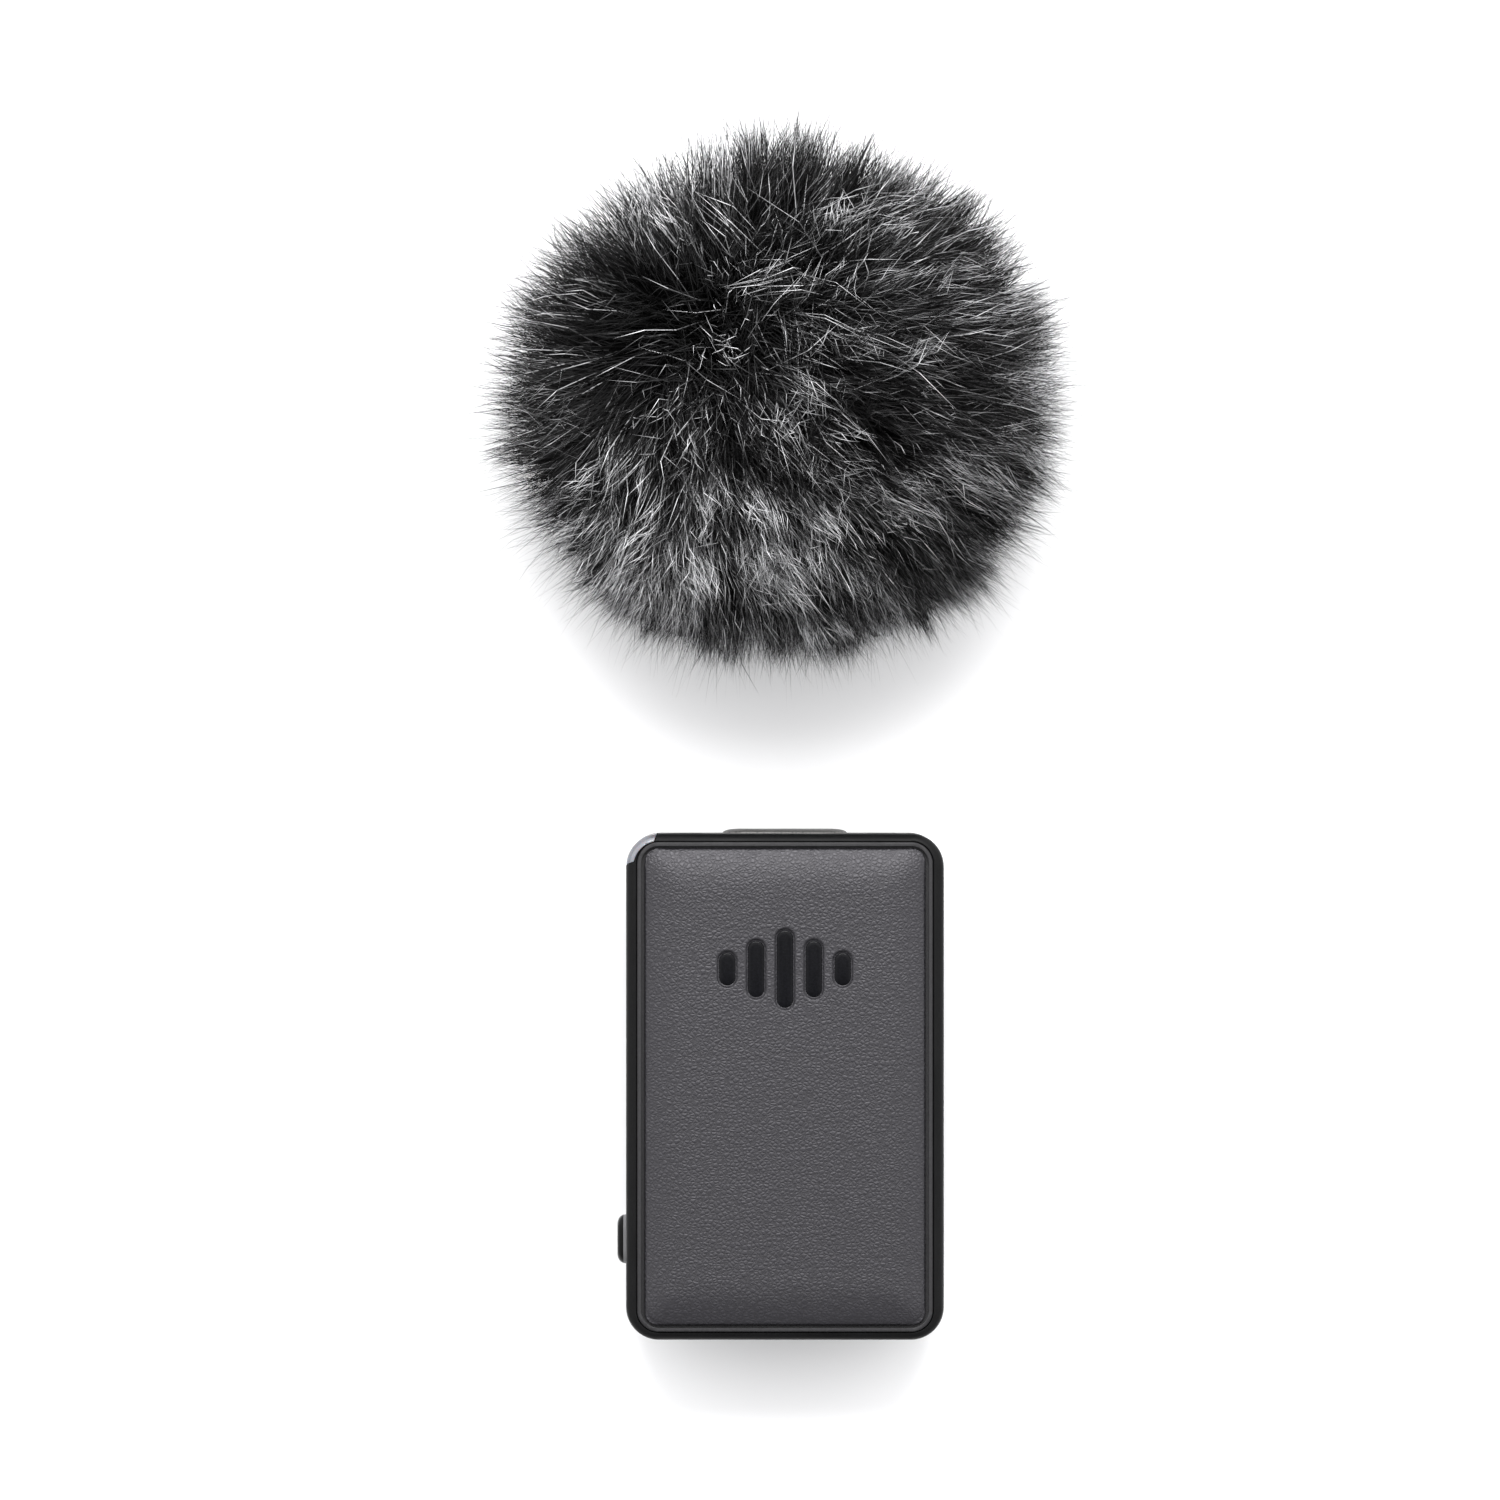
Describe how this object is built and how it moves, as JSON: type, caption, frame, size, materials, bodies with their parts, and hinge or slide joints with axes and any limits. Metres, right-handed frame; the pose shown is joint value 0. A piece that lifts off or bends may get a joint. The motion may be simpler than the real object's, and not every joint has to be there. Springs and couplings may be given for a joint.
{
  "type": "wireless lavalier microphone",
  "caption": "Clip-on wireless lavalier microphone in a slim rectangular case with a sprung back clip, and its push-on fur ball windscreen laid off its top end.",
  "frame": {"origin": "on the clip's outer flat face, under the middle of the front panel", "axes": "+Z out of the front panel, +Y towards the microphone and windscreen end, +X to the right of someone facing the panel"},
  "size_m": [0.0472, 0.103, 0.0365],
  "materials": {
    "casing": "fine satin moulded black",
    "leatherette": "dark grey pebbled leatherette, low sheen",
    "gloss_inlay": "polished black",
    "gloss_button": "semi-gloss black",
    "light_pipe": "frosted translucent",
    "grille": "perforated, dark satin",
    "acoustic_cloth": "fine woven mesh",
    "rubber": "matte soft rubber",
    "tin": "tinned sheet",
    "flex": "polyimide strip",
    "board": "solder mask",
    "chip": "moulded epoxy",
    "ceramic": "fired ceramic",
    "lamp": "clear epoxy",
    "foil": "satin pouch foil",
    "foam": "open-cell foam",
    "lead_red": "insulation",
    "lead_black": "insulation",
    "white_nylon": "nylon",
    "black_nylon": "nylon",
    "socket_steel": "drawn steel",
    "screw_steel": "blackened steel",
    "spring_steel": "spring wire",
    "fur": "long-pile synthetic fur, black roots and pale tips"
  },
  "bodies": {
    "transmitter": {"housing": "casing", "back_cover": "casing", "front_plate": "casing", "leatherette_pad": "leatherette", "emblem": "gloss_inlay", "light_pipe": "light_pipe", "cover_screw_1": "screw_steel", "cover_screw_2": "screw_steel", "cover_screw_3": "screw_steel", "cover_screw_4": "screw_steel", "mic_grille": "grille", "mic_boot": "rubber", "acoustic_mesh": "acoustic_cloth", "mic_capsule": "tin", "mic_flex": "flex", "main_board": "board", "shield_can": "tin", "radio_chip": "chip", "crystal": "tin", "codec_chip": "chip", "charger_chip": "chip", "power_inductor": "ceramic", "antenna": "ceramic", "status_lamp": "lamp", "battery": "foil", "battery_pad": "foam", "battery_guard_board": "board", "battery_lead_red": "lead_red", "battery_lead_black": "lead_black", "battery_plug": "white_nylon", "battery_socket": "white_nylon", "usb_tongue": "black_nylon", "switch_body": "black_nylon", "usb_shell": "socket_steel", "clip_pin": "spring_steel", "clip_spring": "spring_steel", "cover_grip_pad": "rubber"},
    "button": {"side_button": "gloss_button", "switch_plunger": "white_nylon"},
    "clip": {"clip_arm": "casing", "clip_grip_pad": "rubber"},
    "windscreen": {"windscreen_base": "casing", "windscreen_hem_ring": "casing", "windscreen_foam": "foam", "windscreen_fur": "fur"}
  },
  "joints": [
    {"name": "windscreen_slide", "type": "slide", "parent": "transmitter", "child": "windscreen", "axis": [0, 1, 0], "range_m": [-0.0189, 0]},
    {"name": "clip_hinge", "type": "hinge", "parent": "transmitter", "child": "clip", "pos_m": [0, 0.0115, 0.00325], "axis": [1, 0, 0], "range_deg": [0, 22], "stiffness_Nm_per_rad": 0.02, "deforming": ["clip_spring"]},
    {"name": "button_press", "type": "slide", "parent": "transmitter", "child": "button", "axis": [1, 0, 0], "range_m": [0, 0.0004], "stiffness_N_per_m": 1500}
  ]
}
